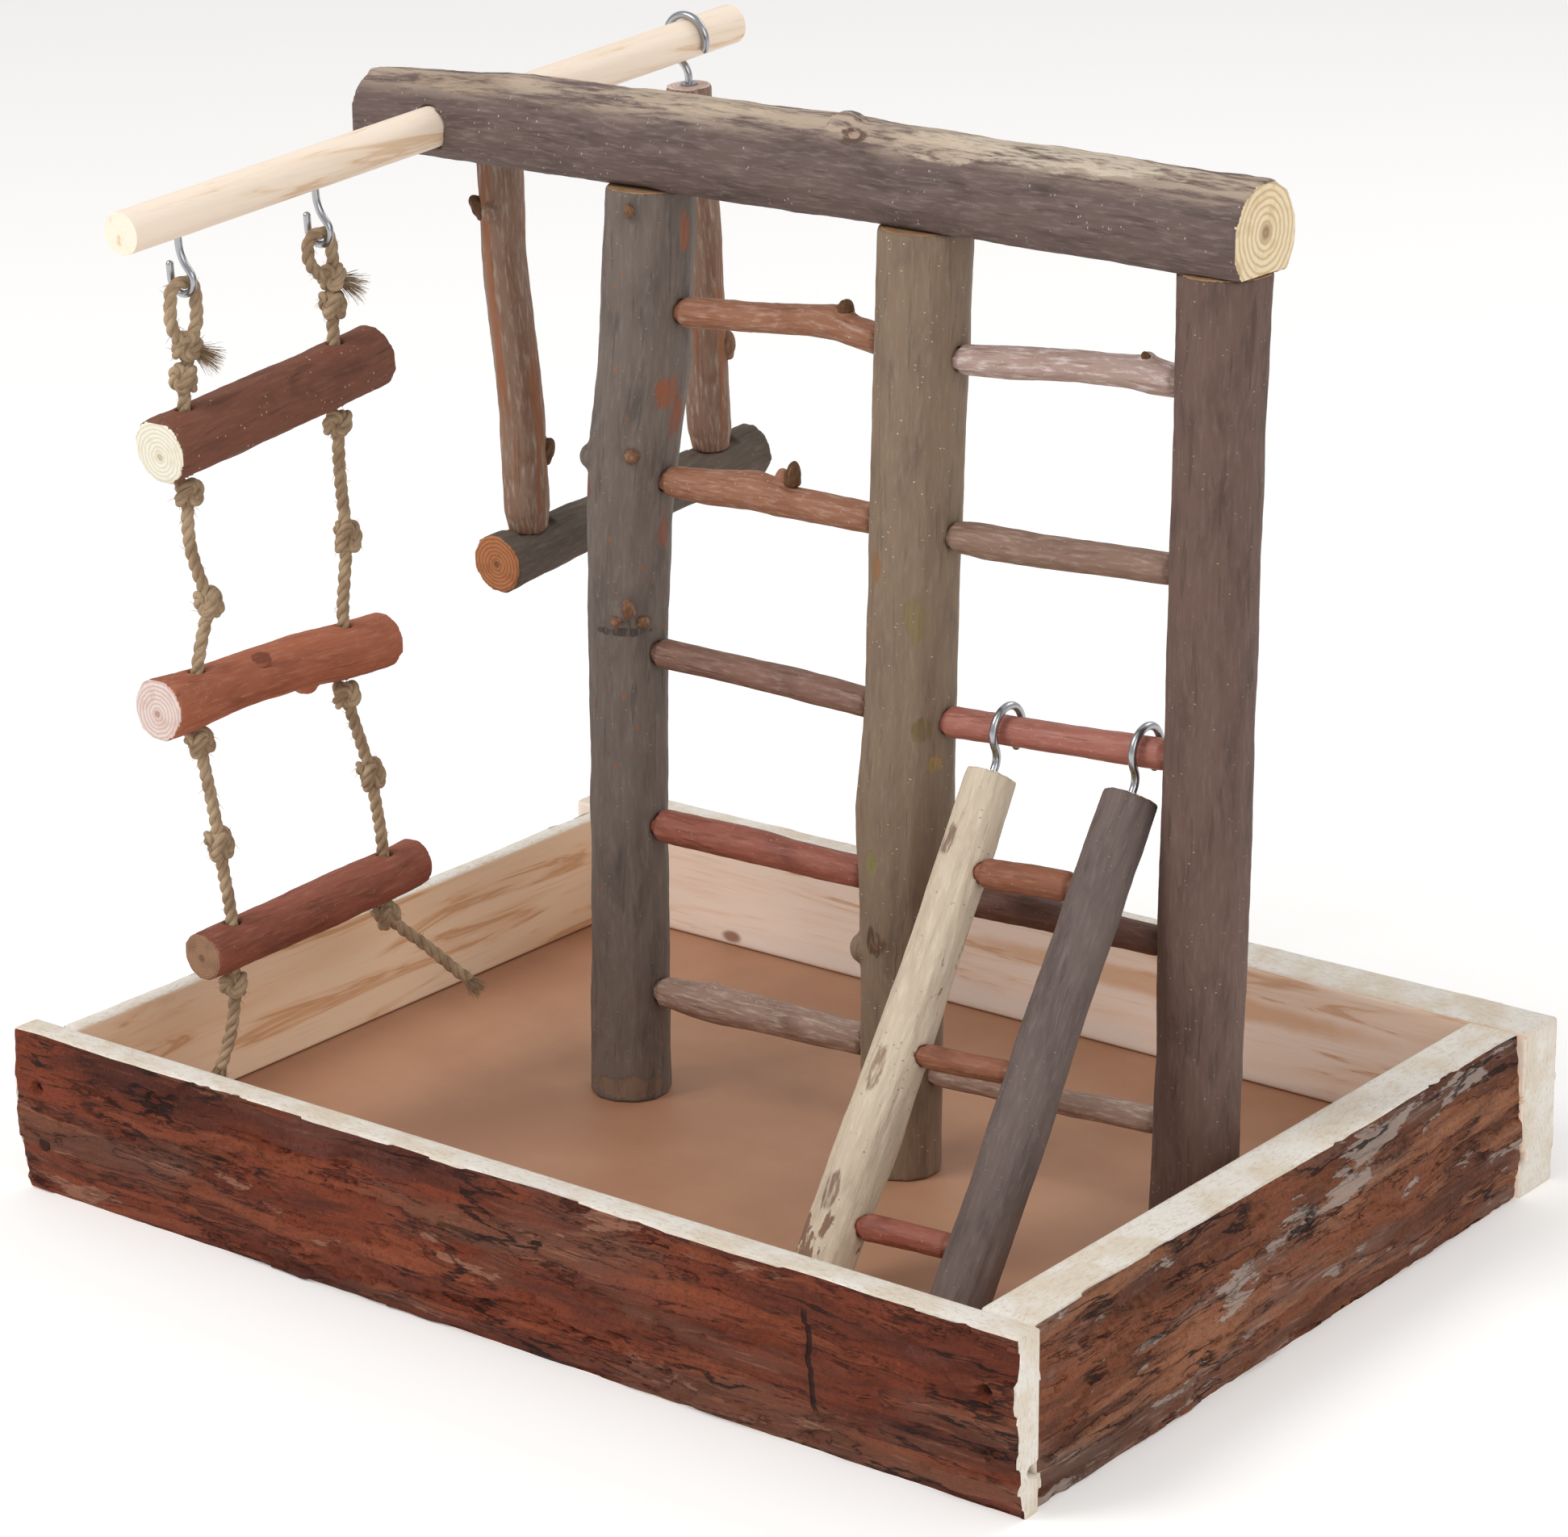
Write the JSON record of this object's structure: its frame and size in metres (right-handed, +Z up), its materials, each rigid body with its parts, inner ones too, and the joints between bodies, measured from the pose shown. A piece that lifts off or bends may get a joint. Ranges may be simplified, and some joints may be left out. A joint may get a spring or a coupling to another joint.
{
  "type": "parrot play stand",
  "caption": "Bird play stand: a bark-edged wooden tray with a branch climbing frame, a rope ladder, a swing and a leaning ladder.",
  "frame": {"origin": "middle of the tray's underside, on the surface it stands on", "axes": "+X along the long front board to the viewer's right, +Y from the front board to the back board, +Z up"},
  "size_m": [0.38, 0.2996, 0.3418],
  "materials": {
    "bark_board": "rough bark outside, sawn inside",
    "hardboard": "smooth",
    "grey_bark": "natural bark",
    "olive_bark": "natural bark",
    "purple_bark": "natural bark",
    "beam_bark": "natural bark, pale ends",
    "orange_branch": "natural bark",
    "red_branch": "natural bark",
    "brown_branch": "natural bark",
    "silver_branch": "natural bark",
    "pale_branch": "partly peeled bark",
    "perch_bark": "natural bark, orange ends",
    "arm_bark": "natural bark",
    "planed_wood": "smooth",
    "rope": "twisted plant fibre",
    "steel": "bright"
  },
  "bodies": {
    "stand": {"front_board": "bark_board", "back_board": "bark_board", "left_board": "bark_board", "right_board": "bark_board", "floor_panel": "hardboard", "board_nails": "steel", "left_post": "grey_bark", "middle_post": "olive_bark", "right_post": "purple_bark", "post_screws": "steel", "top_beam": "beam_bark", "beam_pins": "planed_wood", "left_rung_1": "orange_branch", "left_rung_2": "orange_branch", "left_rung_3": "red_branch", "left_rung_4": "red_branch", "left_rung_5": "silver_branch", "right_rung_1": "silver_branch", "right_rung_2": "brown_branch", "right_rung_3": "red_branch", "right_rung_4": "brown_branch", "right_rung_5": "silver_branch", "cross_dowel": "planed_wood", "rope_hook_front": "steel", "rope_hook_back": "steel"},
    "swing": {"swing_hook_front": "steel", "swing_hook_rear": "steel", "swing_arm_front": "arm_bark", "swing_arm_rear": "arm_bark", "swing_perch": "perch_bark", "swing_screws": "steel"},
    "rope_ladder_top": {"rope_rung_1": "brown_branch", "rope_front_1": "rope", "rope_back_1": "rope"},
    "rope_ladder_middle": {"rope_rung_2": "orange_branch", "rope_front_2": "rope", "rope_back_2": "rope"},
    "rope_ladder_bottom": {"rope_rung_3": "red_branch", "rope_front_3": "rope", "rope_back_3": "rope"},
    "leaning_ladder": {"ladder_rail_left": "pale_branch", "ladder_rail_right": "purple_bark", "ladder_rung_1": "silver_branch", "ladder_rung_2": "brown_branch", "ladder_rung_3": "red_branch", "ladder_hook_left": "steel", "ladder_hook_right": "steel"}
  },
  "joints": [
    {"name": "swing_hinge", "type": "hinge", "parent": "stand", "child": "swing", "pos_m": [-0.13, 0, 0.32215], "axis": [0, 0.9971, 0.0755], "range_deg": [-18, 45]},
    {"name": "rope_top_hinge", "type": "hinge", "parent": "stand", "child": "rope_ladder_top", "pos_m": [-0.13, -0.1181, 0.29385], "axis": [0, 0.9971, 0.0755], "range_deg": [-25, 4]},
    {"name": "rope_middle_hinge", "type": "hinge", "parent": "rope_ladder_top", "child": "rope_ladder_middle", "pos_m": [-0.13, -0.1199, 0.22998], "axis": [0, 0.9932, 0.1163], "range_deg": [-20, 3]},
    {"name": "rope_bottom_hinge", "type": "hinge", "parent": "rope_ladder_middle", "child": "rope_ladder_bottom", "pos_m": [-0.13, -0.1198, 0.15217], "axis": [0, 0.9998, -0.0215], "range_deg": [-20, 5]},
    {"name": "leaning_ladder_hinge", "type": "hinge", "parent": "stand", "child": "leaning_ladder", "pos_m": [0.0796, 0.0044, 0.16383], "axis": [-0.998, 0, -0.0624], "range_deg": [0, 60]}
  ]
}
